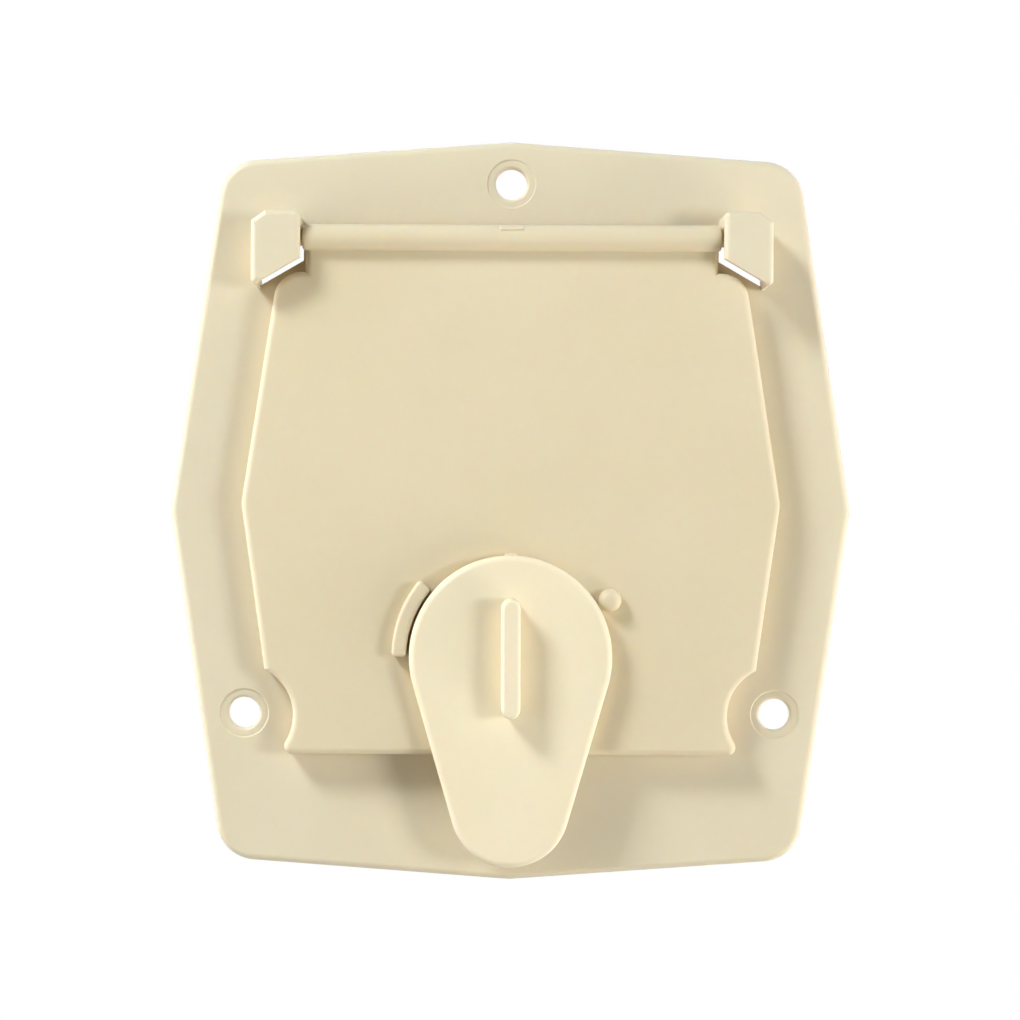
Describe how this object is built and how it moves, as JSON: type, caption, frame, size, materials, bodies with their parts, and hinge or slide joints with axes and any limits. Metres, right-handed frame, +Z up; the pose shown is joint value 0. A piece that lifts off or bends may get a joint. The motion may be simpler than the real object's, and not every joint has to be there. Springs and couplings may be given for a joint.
{
  "type": "power cord hatch",
  "caption": "Surface-mounted power cord hatch with a hinged lid and a turning teardrop cover over its cord notch.",
  "frame": {"origin": "middle of the round opening, in the plane of the flange's back face, which lies on the wall", "axes": "+X to the right seen from the front, +Z up, +Y into the wall, the lid and cover towards -Y"},
  "size_m": [0.1364, 0.0279, 0.148],
  "materials": {
    "cream_plastic": "satin moulded ABS",
    "white_nylon": "plain",
    "screw_steel": "zinc plated"
  },
  "bodies": {
    "flange": {"mounting_plate": "cream_plastic", "rear_collar": "cream_plastic", "left_hinge_bracket": "cream_plastic", "right_hinge_bracket": "cream_plastic"},
    "lid": {"lid_panel": "cream_plastic", "hinge_rod": "cream_plastic", "lid_ring": "cream_plastic", "curved_stop": "cream_plastic", "round_stop": "cream_plastic"},
    "cover": {"cord_cover": "cream_plastic", "grip_rib": "cream_plastic", "tail_web": "cream_plastic", "pivot_hub": "cream_plastic", "retaining_washer": "white_nylon", "retaining_screw": "screw_steel"}
  },
  "joints": [
    {"name": "lid_hinge", "type": "hinge", "parent": "flange", "child": "lid", "pos_m": [0, -0.0085, 0.0539], "axis": [-1, 0, 0], "range_deg": [0, 170]},
    {"name": "cover_pivot", "type": "hinge", "parent": "lid", "child": "cover", "pos_m": [0, -0.0083, -0.0288], "axis": [0, -1, 0], "range_deg": [-28, 55]}
  ]
}
